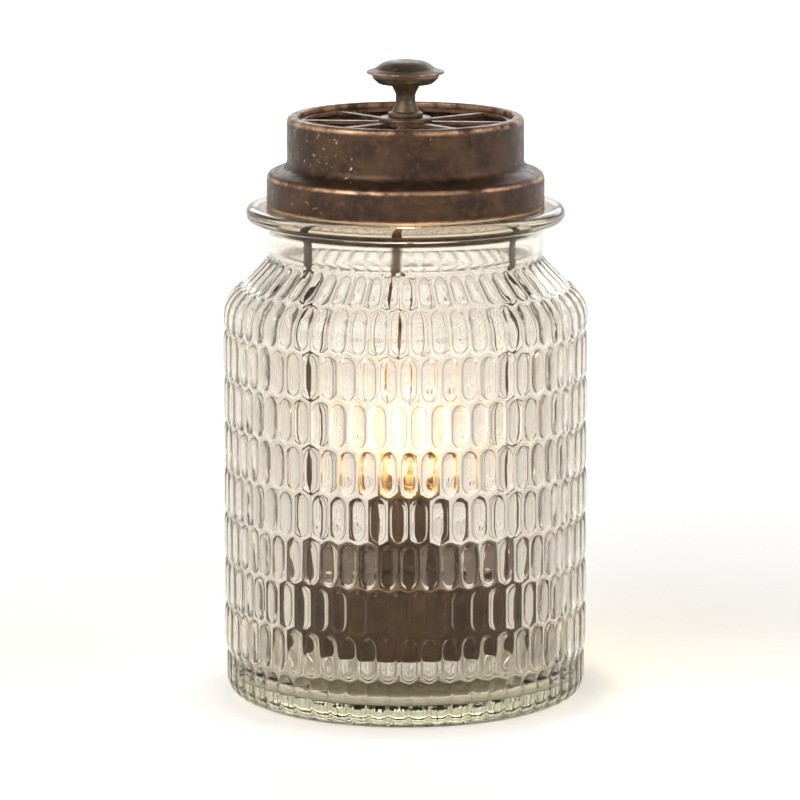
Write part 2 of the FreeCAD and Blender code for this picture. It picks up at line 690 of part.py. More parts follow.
def bulb_cap_insulator():
    return turned(
        (0, TIP_LOW_Z + TIP_T), (TIP_R + GAP, TIP_LOW_Z + TIP_T), (CAP_IN_R, CAP_LOW_Z, 0.5),
        (CAP_IN_R, CAP_LOW_Z + CAP_FILL_T), (0, CAP_LOW_Z + CAP_FILL_T),
    )


def bulb_tip_contact():
    return turned((0, TIP_LOW_Z), (TIP_R, TIP_LOW_Z, 0.6), (TIP_R, TIP_LOW_Z + TIP_T), (0, TIP_LOW_Z + TIP_T))


def globe_outline(radius, neck, low):
    """The outer or the inner half section of the bulb's glass, as edges from the neck to the top."""
    side = math.acos((neck + GLOBE_BLEND) / (radius + GLOBE_BLEND))
    blend_centre = Vector(neck + GLOBE_BLEND, 0, GLOBE_Z - (radius + GLOBE_BLEND) * math.sin(side))
    touch = Vector(radius * math.cos(side), 0, GLOBE_Z - radius * math.sin(side))
    foot = Vector(neck, 0, blend_centre.z)
    half = side / 2
    middle = blend_centre + Vector(-math.cos(half), 0, math.sin(half)) * GLOBE_BLEND
    turn = (math.pi / 2 - side) / 2
    sphere_middle = Vector(radius * math.cos(turn), 0, GLOBE_Z + radius * math.sin(turn))
    return [
        Part.LineSegment(Vector(neck, 0, low), foot).toShape(),
        Part.Arc(foot, middle, touch).toShape(),
        Part.Arc(touch, sphere_middle, Vector(0, 0, GLOBE_Z + radius)).toShape(),
    ]


def bulb_globe():
    outer = globe_outline(GLOBE_R, GLOBE_NECK_R, GLOBE_NECK_Z)
    inner = globe_outline(GLOBE_R - GLOBE_WALL, GLOBE_NECK_R - GLOBE_WALL, GLOBE_NECK_Z)
    top = Part.LineSegment(Vector(0, 0, GLOBE_Z + GLOBE_R), Vector(0, 0, GLOBE_Z + GLOBE_R - GLOBE_WALL))
    foot = Part.LineSegment(
        Vector(GLOBE_NECK_R, 0, GLOBE_NECK_Z), Vector(GLOBE_NECK_R - GLOBE_WALL, 0, GLOBE_NECK_Z)
    )
    edges = outer + inner + [top.toShape(), foot.toShape()]
    return Part.Face(Part.Wire(Part.__sortEdges__(edges))).revolve(ORIGIN, UP, 360)


def bulb_stem():
    wide = GLOBE_NECK_R - GLOBE_WALL - GAP
    return turned(
        (0, GLOBE_NECK_Z), (wide, GLOBE_NECK_Z), (wide, GLOBE_NECK_Z + 1.2, 0.4),
        (GLASS_STEM_R, GLOBE_NECK_Z + 6, 3), (GLASS_STEM_R, STEM_TIP_Z, 1.2), (0, STEM_TIP_Z),
    )


def rod(start, end, radius):
    return Part.makeCylinder(radius, start.distanceToPoint(end), start, end - start)


def filament_ends(i):
    """The lower and upper ends of one lit stick. The sticks lean in towards the top."""
    angle = math.radians(FILAMENT_START + 360 / FILAMENT_COUNT * i)
    return [Vector(r * math.cos(angle), r * math.sin(angle), z) for r, z in (FILAMENT_LOW, FILAMENT_HIGH)]


def bulb_filament():
    return Part.makeCompound([rod(*filament_ends(i), FILAMENT_R) for i in range(FILAMENT_COUNT)])


def bulb_support_wires():
    """One post up the middle, with arms out to the foot and head of each lit stick."""
    top = FILAMENT_HIGH[1] + 1
    wires = disc(SUPPORT_WIRE_R, STEM_TIP_Z, top + SUPPORT_WIRE_R)
    wires = wires.fuse(disc(SUPPORT_WIRE_R * 2, STEM_TIP_Z, STEM_TIP_Z + 1))
    for i in range(FILAMENT_COUNT):
        low, high = filament_ends(i)
        wires = wires.fuse(rod(Vector(0, 0, top), high, SUPPORT_WIRE_R))
        wires = wires.fuse(rod(Vector(0, 0, STEM_TIP_Z + 0.5), low, SUPPORT_WIRE_R))
    return wires


def make_nodes():
    """Every sub-part, by the name of its node."""
    nodes = {
        make.__name__: make()
        for make in (
            glass_jar, lid_shell, vent_grille, seat_ring, rim_gasket, knob_hub_plate, knob_stem, knob_dish,
            knob_cap, knob_lock_washer, knob_nut, strap_rivets_top, strap_rivets_bottom, battery_housing,
            base_plate, base_plate_screws, battery_cover, cover_pad, battery_tray, flat_contacts,
            spring_contacts, circuit_board, driver_chip, board_screws, switch_case, switch_slider,
            lamp_holder, holder_lock_ring, holder_insulator, holder_thread_shell, holder_centre_contact,
            bulb_cap, bulb_cap_insulator, bulb_tip_contact, bulb_globe, bulb_stem, bulb_filament,
            bulb_support_wires,
        )
    }
    for name, angle in STRAP_ANGLES.items():
        nodes[name] = turned_about(strap(), angle)
    for name, side in CELLS.items():
        nodes[name] = cell(side)
    nodes["lead_positive"] = lead(LEAD_SPREAD)
    nodes["lead_negative"] = lead(-LEAD_SPREAD)
    return nodes


os.makedirs("parts", exist_ok=True)
for name, shape in make_nodes().items():
    shape.exportStep(f"parts/{name}.step")
    print(f"{name}: {len(shape.Solids)} solids, valid {shape.isValid()}, {shape.Volume:.0f} mm3")
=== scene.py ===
"""Looks of the mason jar lantern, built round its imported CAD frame.

Profiles are in millimetres, as (radius, z, rounding) corners, and meshes are in metres in the frame's own axes.
"""

import math
import random

import bpy
import numpy as np
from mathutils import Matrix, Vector, noise


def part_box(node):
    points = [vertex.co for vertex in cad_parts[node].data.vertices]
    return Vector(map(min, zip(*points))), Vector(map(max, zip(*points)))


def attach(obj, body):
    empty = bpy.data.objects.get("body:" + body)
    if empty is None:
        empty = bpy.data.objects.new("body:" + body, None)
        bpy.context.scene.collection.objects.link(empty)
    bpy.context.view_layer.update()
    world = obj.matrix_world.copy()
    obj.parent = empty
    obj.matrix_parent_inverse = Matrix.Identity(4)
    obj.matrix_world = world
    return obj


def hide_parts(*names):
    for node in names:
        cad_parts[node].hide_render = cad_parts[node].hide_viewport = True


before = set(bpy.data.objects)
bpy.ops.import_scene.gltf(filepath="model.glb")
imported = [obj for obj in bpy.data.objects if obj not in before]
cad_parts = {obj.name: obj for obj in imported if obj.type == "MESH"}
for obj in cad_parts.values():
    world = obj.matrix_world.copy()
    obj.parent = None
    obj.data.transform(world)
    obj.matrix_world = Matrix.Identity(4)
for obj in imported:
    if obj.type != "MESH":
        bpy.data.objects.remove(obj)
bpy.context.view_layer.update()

MM = 0.001
TAU = 2 * math.pi


def size_of(node):
    """A node's outer radius, lowest z and highest z, in millimetres."""
    low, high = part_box(node)
    return high[0] / MM, low[2] / MM, high[2] / MM


# Sizes, in millimetres
JAR_R, _, RIM_Z = size_of("glass_jar")
WALL = 4.5
NECK_R = 52.9
NECK_IN_R = 49.5
LIP_R = 61.4
LIP_UNDER_Z = 185.2
SLOPE_Z = 154.3  # where the wall's line meets the shoulder's 45 degree slope
FOOT_R = 50.0
RECESS = 1.5
FLOOR_Z = 8.0

LENSES = 56
LENS_PITCH = TAU / LENSES
EVEN_PHASE = math.radians(-90 + 4.25)
LENS_H = 1.15
LENS_INSET = 1.05  # how far the web between the lenses lies inside the jar's outer radius
LENS_FILL = 0.41  # a lens's half width, as a share of the pitch
LENS_END_GAP = 0.45
ROW_WEAVE = 0.6  # how far the web between two rows bends round the ends of their lenses
LENS_END_STRETCH = 1.45  # how long a lens's rounded end is, in half widths
LOW_ROW_STRENGTH = 0.45  # how much of a lens is left on the rounded heel
NECK_WAVES = 0.3  # how much of the glass's unevenness is left in the neck
INSIDE_WAVES = 0.22
ROW_H = 17.8
ROW_LOW_Z = 0.95
STRAIGHT_ROWS = 8
SHOULDER_ROWS_Z = (160.9, 171.9)
LENS_RINGS = (1.0, 0.94, 0.83, 0.63, 0.33)  # loops of points in a lens, as shares of its half width
RING_SHADE = (0.5, 1.0, 0.55, 0.5, 0.5)  # painted shade: 0 on plain glass, 0.5 within a lens and 1 on its steep side
TOP_ROW_STRENGTH = 0.55
END_STEPS = 8  # steps round a lens's rounded end
SIDE_STEPS = 4  # steps up its straight side
CELL_STEPS = 6  # steps along a lens cell's lower or upper edge, and up its side
COARSE = 2  # lens cell columns to one coarse column, where the glass is plain
COLUMNS = LENSES * CELL_STEPS

LID_WALL = 0.9
BAND_R, BAND_LOW_Z, LID_TOP_Z = size_of("lid_shell")
COLLAR_R = 45.4
MOUTH_R = 41.2
BAND_TOP_Z = 203.4
FLARE_TOP_Z = 206.5
HEM_Z = size_of("vent_grille")[2]

STEM_FOOT_Z = size_of("knob_hub_plate")[2]
CAP_R, DISH_TOP_Z, CAP_TOP_Z = size_of("knob_cap")
DISH_R, STEM_TOP_Z, _ = size_of("knob_dish")
STEM_FOOT_R = size_of("knob_stem")[0]

DRUM_R, DRUM_LOW_Z, DRUM_TOP_Z = size_of("battery_housing")
DRUM_WALL = 1.2
HOLDER_BASE_R, TAIL_LOW_Z, HOLDER_TOP_Z = size_of("lamp_holder")
HOLDER_R = 12.0
CAP_THREAD_R, CAP_LOW_Z, CAP_HEAD_Z = size_of("bulb_cap")
CAP_IN_R = 6.1
GLOBE_R, GLOBE_LOW_Z, GLOBE_TOP_Z = size_of("bulb_globe")
GLOBE_NECK_R = 5.9
GLOBE_WALL = 0.7


# Mesh helpers


def rounded(corners, closed=False, steps=6):
    """The (r, z) points of a profile of (r, z, rounding) corners, with an arc at each rounded corner."""
    points = []
    count = len(corners)
    for i, corner in enumerate(corners):
        here = Vector(corner[:2])
        radius = corner[2] if len(corner) > 2 else 0
        if radius == 0 or (not closed and i in (0, count - 1)):
            points.append(here)
            continue
        back = (Vector(corners[i - 1][:2]) - here).normalized()
        ahead = (Vector(corners[(i + 1) % count][:2]) - here).normalized()
        half = back.angle(ahead) / 2
        centre = here + (back + ahead).normalized() * (radius / math.sin(half))
        start = here + back * (radius / math.tan(half)) - centre
        turn = math.pi - 2 * half
        if back.x * ahead.y - back.y * ahead.x > 0:
            turn = -turn
        for k in range(steps + 1):
            a = turn * k / steps
            spun = Vector((start.x * math.cos(a) - start.y * math.sin(a),
                           start.x * math.sin(a) + start.y * math.cos(a)))
            points.append(centre + spun)
    return [(p.x, p.y) for p in points]


def refined(points, longest, closed=False):
    """The same profile with long runs cut into steps of at most this length."""
    made = []
    following = points[1:] + (points[:1] if closed else [])
    for (r0, z0), (r1, z1) in zip(points, following):
        parts = max(1, math.ceil(math.hypot(r1 - r0, z1 - z0) / longest))
        made += [(r0 + (r1 - r0) * k / parts, z0 + (z1 - z0) * k / parts) for k in range(parts)]
    return made if closed else made + [points[-1]]


def make_object(name, vertices, faces, sharp_degrees=35):
    mesh = bpy.data.meshes.new(name)
    mesh.from_pydata([tuple(v) for v in vertices], [], faces)
    mesh.validate()
    mesh.polygons.foreach_set("use_smooth", [True] * len(mesh.polygons))
    mesh.set_sharp_from_angle(angle=math.radians(sharp_degrees))
    mesh.update()
    piece = bpy.data.objects.new(name, mesh)
    bpy.context.scene.collection.objects.link(piece)
    return piece


def lathe(name, points, segments=128, closed=True, dent=0.0, centre=(0.0, 0.0)):
    """A round piece from (r, z) points in mm, in order with its material on the left. dent is its unevenness."""
    vertices = []
    rings = []
    for r, z in points:
        if r < 1e-6:
            rings.append([len(vertices)])
            vertices.append((centre[0] * MM, centre[1] * MM, z * MM))
            continue
        ring = []
        for k in range(segments):
            a = TAU * k / segments
            x, y = r * math.cos(a), r * math.sin(a)
            bump = dent * noise.noise(Vector((x, y, z)) / 14) if dent else 0
            x, y = x * (1 + bump / r) + centre[0], y * (1 + bump / r) + centre[1]
            ring.append(len(vertices))
            vertices.append((x * MM, y * MM, z * MM))
        rings.append(ring)
    pairs = list(zip(rings, rings[1:] + (rings[:1] if closed else [])))
    if not closed:
        pairs = pairs[: len(rings) - 1]
    faces = []
    for low, high in pairs:
        for k in range(segments):
            n = (k + 1) % segments
            if len(low) == 1 and len(high) == 1:
                break
            if len(low) == 1:
                faces.append((low[0], high[n], high[k]))
            elif len(high) == 1:
                faces.append((low[k], low[n], high[0]))
            else:
                faces.append((low[k], low[n], high[n], high[k]))
    return make_object(name, vertices, faces)


def place(piece, body, slot, material, *nodes):
    """Rides a piece on a body, in place of these nodes."""
    piece.data.materials.clear()
    piece.data.materials.append(material)
    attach(piece, body)
    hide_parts(*nodes)
    return piece


# Material helpers


class Nodes:
    """A material's node tree, with short ways to add the nodes used here."""

    def __init__(self, name):
        self.material = bpy.data.materials.new(name)
        self.material.use_nodes = True
        self.tree = self.material.node_tree
        self.tree.nodes.clear()
        self.output = self.tree.nodes.new("ShaderNodeOutputMaterial")

    def add(self, kind, inputs=None, **settings):
        node = self.tree.nodes.new(kind)
        for key, value in settings.items():
            setattr(node, key, value)
        for key, value in (inputs or {}).items():
            self.feed(node.inputs[key], value)
        return node

    def feed(self, socket, value):
        if isinstance(value, bpy.types.NodeSocket):
            self.tree.links.new(value, socket)
        else:
            socket.default_value = value

    def position(self, scale=(1, 1, 1)):
        place_of = self.add("ShaderNodeTexCoord").outputs["Object"]
        return self.add("ShaderNodeMapping", {"Vector": place_of, "Scale": scale}).outputs["Vector"]

    def noise(self, scale, detail=4, roughness=0.55, stretch=(1, 1, 1)):
        inputs = {"Vector": self.position(stretch), "Scale": scale, "Detail": detail, "Roughness": roughness}
        return self.add("ShaderNodeTexNoise", inputs).outputs["Fac"]

    def spots(self, scale, randomness=1.0, stretch=(1, 1, 1)):
        inputs = {"Vector": self.position(stretch), "Scale": scale, "Randomness": randomness}
        return self.add("ShaderNodeTexVoronoi", inputs).outputs["Distance"]

    def ramp(self, value, low, high, to_low=0.0, to_high=1.0):
        inputs = {"Value": value, "From Min": low, "From Max": high, "To Min": to_low, "To Max": to_high}
        return self.add("ShaderNodeMapRange", inputs, interpolation_type="SMOOTHSTEP").outputs["Result"]

    def math(self, operation, a, b=0.0):
        return self.add("ShaderNodeMath", {0: a, 1: b}, operation=operation).outputs[0]

    def mix(self, factor, a, b):
        inputs = {0: factor, 6: a, 7: b}
        return self.add("ShaderNodeMix", inputs, data_type="RGBA").outputs[2]

    def height(self):
        """Z in millimetres."""
        split = self.add("ShaderNodeSeparateXYZ", {0: self.position()})
        return self.math("MULTIPLY", split.outputs["Z"], 1 / MM)

    def near(self, value, centre, reach):
        """1 at this value, falling to 0 at reach from it."""
        away = self.math("ABSOLUTE", self.math("SUBTRACT", value, centre))
        return self.ramp(away, 0, reach, 1, 0)

    def bump(self, height, strength, distance):
        inputs = {"Height": height, "Strength": strength, "Distance": distance}
        return self.add("ShaderNodeBump", inputs).outputs["Normal"]

    def principled(self, **inputs):
        named = {key.replace("_", " "): value for key, value in inputs.items()}
        return self.add("ShaderNodeBsdfPrincipled", named)

    def finish(self, shader, volume=None):
        self.tree.links.new(shader, self.output.inputs["Surface"])
        if volume is not None:
            self.tree.links.new(volume, self.output.inputs["Volume"])
        return self.material


def rgb(r, g, b):
    return (r, g, b, 1.0)


def aged_bronze(name, dark, middle, copper, edges=(), metallic=0.7, roughness=0.44, worn=0.35,
                relief=0.35):
    """Antique bronze: mottled patina, faint turned lines, pale flecks, and bare copper at the worn edges, which
    doubles as a painted highlight.

    edges are (z, reach) in millimetres, where a rolled edge is worn to bare copper with a painted highlight, and
    worn is how bare and highlighted other edges are.
    relief is how deep the grain looks.
    """
    n = Nodes(name)
    cloud = n.noise(70, 6, 0.6)
    mottle = n.noise(330, 5, 0.65)
    turned_lines = n.noise(26, 3, 0.5, (1, 1, 30))
    colour = n.mix(n.ramp(cloud, 0.38, 0.66), dark, middle)
    colour = n.mix(n.ramp(mottle, 0.45, 0.75, 0, 0.55), colour, copper)
    colour = n.mix(n.ramp(turned_lines, 0.5, 0.75, 0, 0.3), colour, dark)
    dirt = n.ramp(n.noise(150, 8, 0.7), 0.56, 0.7, 0, 0.7)
    colour = n.mix(dirt, colour, rgb(0.03, 0.02, 0.016))
    fleck = n.math("MULTIPLY", n.ramp(n.noise(560, 3, 0.6), 0.62, 0.7), n.ramp(n.noise(42, 3), 0.53, 0.63))
    colour = n.mix(n.math("MULTIPLY", fleck, 0.8), colour, rgb(0.55, 0.42, 0.3))
    # Worn edges, partly real wear and partly a painted highlight: convex edges and the listed rolled edges go pale
    # copper.
    wear = n.ramp(n.add("ShaderNodeNewGeometry").outputs["Pointiness"], 0.51, 0.56, 0, worn)
    height = n.height()
    for z, reach in edges:
        wear = n.math("MAXIMUM", wear, n.near(height, z, reach))
    wear = n.math("MULTIPLY", wear, n.ramp(n.noise(120, 5, 0.6), 0.35, 0.62))
    # Pale copper for the worn edges, doubling as a painted highlight.
    worn_copper_highlight = rgb(0.62, 0.36, 0.22)
    colour = n.mix(n.math("MULTIPLY", wear, 0.85), colour, worn_copper_highlight)
    rough = n.math("ADD", n.ramp(mottle, 0.3, 0.7, -0.1, 0.12), roughness)
    rough = n.math("SUBTRACT", rough, n.math("MULTIPLY", wear, 0.12))
    grain = n.math("ADD", n.math("MULTIPLY", mottle, 0.7), n.noise(1500, 3, 0.6))
    shader = n.principled(Base_Color=colour, Metallic=metallic, Roughness=rough,
                          Normal=n.bump(grain, relief, 0.0002))
    return n.finish(shader.outputs[0])


def pressed_glass(name):
    """Pressed glass: warm and faintly grey, olive in its thick foot with painted shade there too, and painted
    shade over its lenses, darkest down their steep sides.

    The neck is hazier and the rim is browned by painted shade under the lid. Its reflections are dimmed by a tint.
    A little of the light spreads on its way through, so the lit lamp has a soft glow about it.
    """
    n = Nodes(name)
    waves = n.math("ADD", n.noise(70, 2, 0.4), n.math("MULTIPLY", n.noise(380, 2, 0.5), 0.12))
    normal = n.bump(waves, 0.2, 0.0006)
    tint = n.mix(n.ramp(n.noise(140, 4, 0.6), 0.35, 0.7), rgb(0.945, 0.92, 0.875), rgb(0.926, 0.894, 0.842))
    # Olive foot: partly the thick glass's own tint, partly painted shade of the dim table seen through the floor.
    tint = n.mix(n.ramp(n.height(), 5, 25, 1, 0), tint, rgb(0.5, 0.47, 0.34))
    # Brown painted shade on the rim, under the lid's band.
    tint = n.mix(n.ramp(n.height(), 182, 188, 0, 0.9), tint, rgb(0.6, 0.52, 0.4))
    # Painted shade over the lenses, read from a point attribute of the jar: their bodies greyer and their steep
    # sides dark.
    edge = n.add("ShaderNodeAttribute", attribute_name="lens_painted_shade").outputs["Fac"]
    tint = n.mix(n.ramp(edge, 0.05, 0.5, 0, 0.9), tint, rgb(0.852, 0.812, 0.762))
    tint = n.mix(n.ramp(edge, 0.55, 1.0, 0, 0.9), tint, rgb(0.3, 0.25, 0.2))
    rough = n.ramp(n.noise(260, 4, 0.6), 0.45, 0.75, 0.0, 0.03)
    neck = n.math("MULTIPLY", n.ramp(n.height(), 168, 174), n.ramp(n.height(), 184, 186, 1, 0))
    rough = n.math("ADD", rough, n.math("MULTIPLY", neck, 0.08))
    glass = n.principled(Base_Color=tint, Transmission_Weight=1.0, IOR=1.5, Specular_Tint=rgb(0.35, 0.33, 0.3),
                         Roughness=rough, Normal=normal)
    spread = n.add("ShaderNodeBsdfRefraction", {"Color": rgb(0.95, 0.7, 0.42), "IOR": 1.45, "Roughness": 0.75,
                                                "Normal": normal})
    share = n.ramp(n.noise(90, 5, 0.6), 0.3, 0.75, 0.014, 0.03)
    body = n.add("ShaderNodeMixShader", {0: share, 1: glass.outputs[0], 2: spread.outputs[0]})
    clear = n.add("ShaderNodeBsdfTransparent", {"Color": rgb(0.9, 0.89, 0.86)})
    shadow = n.add("ShaderNodeLightPath").outputs["Is Shadow Ray"]
    through = n.add("ShaderNodeMixShader", {0: shadow, 1: body.outputs[0], 2: clear.outputs[0]})
    depth = n.add("ShaderNodeVolumeAbsorption", {"Color": rgb(0.80, 0.81, 0.60), "Density": 10.0})
    return n.finish(through.outputs[0], depth.outputs[0])


def thin_glass(name):
    """The bulb's clear envelope, with a trace of dust."""
    n = Nodes(name)
    rough = n.ramp(n.noise(300, 4, 0.6), 0.4, 0.7, 0.0, 0.05)
    glass = n.principled(Base_Color=rgb(1, 0.99, 0.97), Transmission_Weight=1.0, IOR=1.46, Roughness=rough)
    clear = n.add("ShaderNodeBsdfTransparent", {"Color": rgb(0.97, 0.97, 0.96)})
    shadow = n.add("ShaderNodeLightPath").outputs["Is Shadow Ray"]
    through = n.add("ShaderNodeMixShader", {0: shadow, 1: glass.outputs[0], 2: clear.outputs[0]})
    return n.finish(through.outputs[0])


def lit(name, strength):
    """Glowing phosphor with a slightly uneven coat."""
    n = Nodes(name)
    coat = n.mix(n.ramp(n.noise(900, 3), 0.35, 0.65), rgb(1.0, 0.74, 0.42), rgb(1.0, 0.84, 0.58))
    shader = n.principled(Base_Color=coat, Roughness=0.6, Emission_Color=coat, Emission_Strength=strength)
    return n.finish(shader.outputs[0])


def plain_metal(name, colour, tarnish, roughness=0.3, stretch=(1, 1, 1)):
    """Bare or plated metal with tarnish in patches and fine scratches."""
    n = Nodes(name)
    patches = n.ramp(n.noise(260, 6, 0.65), 0.45, 0.72, 0, 0.75)
    scratches = n.noise(900, 2, 0.5, stretch)
    rough = n.math("ADD", n.ramp(patches, 0, 1, 0, 0.25), roughness)
    shader = n.principled(Base_Color=n.mix(patches, colour, tarnish), Metallic=1.0, Roughness=rough,
                          Normal=n.bump(scratches, 0.2, 0.0001))
    return n.finish(shader.outputs[0])


def moulded(name, colour, worn, roughness=0.5, grain=1600, metallic=0.0):
    """Moulded plastic, rubber or lacquer: fine grain, small colour shifts and a dusting of wear."""
    n = Nodes(name)
    mottle = n.ramp(n.noise(180, 5, 0.6), 0.35, 0.7, 0, 0.6)
    rub = n.ramp(n.noise(520, 7, 0.7), 0.6, 0.75, 0, 0.5)
    tone = n.mix(n.math("MAXIMUM", mottle, rub), colour, worn)
    rough = n.ramp(n.noise(400, 4), 0.3, 0.7, roughness - 0.08, roughness + 0.1)
    shader = n.principled(Base_Color=tone, Roughness=rough, Metallic=metallic,
                          Normal=n.bump(n.noise(grain, 2), 0.3, 0.00015))
    return n.finish(shader.outputs[0])


def circuit(name):
    """Green solder mask with paler copper tracks under it."""
    n = Nodes(name)
    cells = n.spots(240, 0.4)
    track = n.near(cells, 0.42, 0.05)
    colour = n.mix(track, rgb(0.012, 0.09, 0.035), rgb(0.05, 0.26, 0.1))
    shader = n.principled(Base_Color=colour, Roughness=0.25, Coat_Weight=0.6, Normal=n.bump(track, 0.3, 0.00008))
    return n.finish(shader.outputs[0])


def cell_wrap(name):
    """A plain shrink sleeve: dark, with a copper-coloured band near the nipple end and a soft sheen."""
    n = Nodes(name)
    split = n.add("ShaderNodeSeparateXYZ", {0: n.position()})
    along = n.math("MULTIPLY", split.outputs["Y"], 1 / MM)
    band = n.ramp(n.math("ABSOLUTE", along), 12.0, 12.4)
    scuffs = n.ramp(n.noise(500, 6, 0.7), 0.58, 0.7, 0, 0.5)
    colour = n.mix(n.math("MULTIPLY", band, 0.9), rgb(0.02, 0.022, 0.026), rgb(0.42, 0.2, 0.08))
    colour = n.mix(scuffs, colour, rgb(0.2, 0.19, 0.18))
    shader = n.principled(Base_Color=colour, Metallic=0.35, Roughness=0.32, Coat_Weight=0.5)
    return n.finish(shader.outputs[0])


# The jar


def arc_positions(points):
    """Distance along a profile at each of its points."""
    path = np.array(points)
    return np.concatenate([[0], np.cumsum(np.hypot(*np.diff(path, axis=0).T))])


def sampled(points, stations):
    """The profile's points and outward normals at these distances along it."""
    path = np.array(points)
    along = arc_positions(points)
    spot = np.stack([np.interp(stations, along, path[:, i]) for i in (0, 1)], axis=1)
    step = 0.25
    ahead = np.stack([np.interp(stations + step, along, path[:, i]) for i in (0, 1)], axis=1)
    behind = np.stack([np.interp(stations - step, along, path[:, i]) for i in (0, 1)], axis=1)
    run = ahead - behind
    normal = np.stack([run[:, 1], -run[:, 0]], axis=1)
    return spot, normal / np.linalg.norm(normal, axis=1, keepdims=True)


def dome(share):
    """How proud a lens stands, from 1 in its middle to 0 at its edge: flat on top, with steep rounded sides."""
    return (1 - share**3.0) ** 0.6


def lens_rows(along, heights):
    """(start, end) of each lens row, as distances along the outer profile, from the bottom up."""
    levels = [ROW_LOW_Z + ROW_H * k for k in range(STRAIGHT_ROWS + 1)] + list(SHOULDER_ROWS_Z)
    stations = np.interp(levels, heights, along)
    return list(zip(stations, stations[1:]))


def outer_profile():
    """The jar's outside, from the foot's inner edge out, up the wall and over the rim."""
    neck_foot = SLOPE_Z + JAR_R - NECK_R
    corners = [
        (FOOT_R, 0, 0), (JAR_R, 0, 8), (JAR_R, SLOPE_Z, 12), (NECK_R, neck_foot, 4), (NECK_R, LIP_UNDER_Z, 4.5),
        (LIP_R, LIP_UNDER_Z, 2.8), (LIP_R, RIM_Z, 2.6), (NECK_IN_R + 3, RIM_Z, 0),
    ]
    return rounded(corners, steps=16)


def inner_profile():
    """The jar's inside, from the rim down to the middle of the floor."""
    slope_in = SLOPE_Z - WALL * (math.sqrt(2) - 1)
    inner_r = JAR_R - WALL
    corners = [
        (NECK_IN_R + 3, RIM_Z, 0), (NECK_IN_R, RIM_Z, 1.6), (NECK_IN_R, slope_in + inner_r - NECK_IN_R, 6),
        (inner_r, slope_in, 7.5), (inner_r, FLOOR_Z, 10), (0, FLOOR_Z, 0),
    ]
    return refined(rounded(corners, steps=8), 5)


def under_profile():
    """The recessed underside, from the middle out to the foot."""
    return refined([(0, RECESS), (FOOT_R - 0.8, RECESS), (FOOT_R, 0)], 8)


class Skin:
    """Points of the jar's outside: an angle, a distance along the profile, how proud, and how much painted shade.
    """

    def __init__(self):
        self.angles, self.stations, self.proud, self.shade = [], [], [], []

    def add(self, angle, station, proud=0.0, shade=0.0):
        self.angles.append(angle)
        self.stations.append(station)
        self.proud.append(proud)
        self.shade.append(shade)
        return len(self.angles) - 1


def lens_loop(share, half_width, half_height):
    """Points (x, y) round a lens, anticlockwise from the top of its left lower end. x is in half widths."""
    end = LENS_END_STRETCH * half_width
    straight = half_height - end
    points = []
    for side in (-1, 1):
        for k in range(END_STEPS + 1):
            a = math.pi * (k / END_STEPS + (1 if side < 0 else 0))
            points.append((share * math.cos(a), side * straight + share * end * math.sin(a)))
        for k in range(1, SIDE_STEPS):
            points.append((-side * share, side * straight * (1 - 2 * k / SIDE_STEPS)))
    return points


def add_lens(skin, faces, border, middle, pitch, row, lot, strength):
    """One lens in its cell: loops of points from the cell's border in to a flat middle."""
    angle, station = middle
    start, end = row
    half_width = LENS_FILL * pitch
    half_height = (end - start) / 2 - LENS_END_GAP
    aside, up = 0.12 * lot[0] / pitch, 0.15 * lot[1]
    outer = border
    for share, shade in zip(LENS_RINGS, RING_SHADE):
        proud = LENS_H * strength * (1 + 0.08 * lot[2]) * dome(share)
        loop = [skin.add(angle + LENS_PITCH * (LENS_FILL * x + aside), station + y + up, proud, shade)
                for x, y in lens_loop(share, half_width, half_height)]
        count = len(loop)
        for i in range(count):
            n = (i + 1) % count
            faces.append((outer[i], outer[n], loop[n], loop[i]))
        outer = loop
    low, high = END_STEPS // 2, END_STEPS // 2 + len(outer) // 2
    faces.append((outer[low - 1], outer[low], outer[low + 1]))
    for k in range(1, high - low - 1):
        left, right = low - k, low + k
        faces.append((outer[left - 1], outer[left], outer[right], outer[right + 1]))
    faces.append((outer[high - 1], outer[high], outer[(high + 1) % len(outer)]))


def cell_edges(skin, stations):
    """The rings between lens rows, and the upright edges between the lenses of each row."""
    angles = [EVEN_PHASE + LENS_PITCH * k / CELL_STEPS for k in range(COLUMNS)]
    rings = []
    for number, station in enumerate(stations):
        weave = ROW_WEAVE if 0 < number < len(stations) - 1 else 0.0
        sign = 1 if number % 2 == 0 else -1
        rings.append([skin.add(a, station - sign * weave * math.cos(TAU * (a - EVEN_PHASE) / LENS_PITCH))
                      for a in angles])
    uprights = []
    for number, (start, end) in enumerate(zip(stations, stations[1:])):
        shift = 0.5 if number % 2 == 0 else 1.0
        row = []
        for k in range(LENSES):
            angle = EVEN_PHASE + LENS_PITCH * (k + shift)
            row.append([skin.add(angle, start + (end - start) * j / CELL_STEPS) for j in range(1, CELL_STEPS)])
        uprights.append(row)
    return rings, uprights


def cell_border(rings, uprights, number, k):
    """The points round lens k of this row, in step with lens_loop's."""
    middle = CELL_STEPS * k + (0 if number % 2 == 0 else CELL_STEPS // 2)
    reach = range(middle - CELL_STEPS // 2, middle + CELL_STEPS // 2 + 1)
    low = [rings[number][i % COLUMNS] for i in reach]
    high = [rings[number + 1][i % COLUMNS] for i in reach]
    left, right = uprights[number][k - 1], uprights[number][k]
    return [left[0], *low, *right, *reversed(high), *reversed(left[1:])]


def depth_field(stations, rows):
    """How far the web between the lenses lies below the plain outline, and how much of a lens stands on it."""
    first, last = rows[0][0], rows[-1][1]
    fade_in = np.clip((stations - first + 5) / 10, 0, 1)
    fade_out = np.clip((last + 2.0 - stations) / 3.0, 0, 1)
    return LENS_INSET * fade_in * fade_out, fade_out


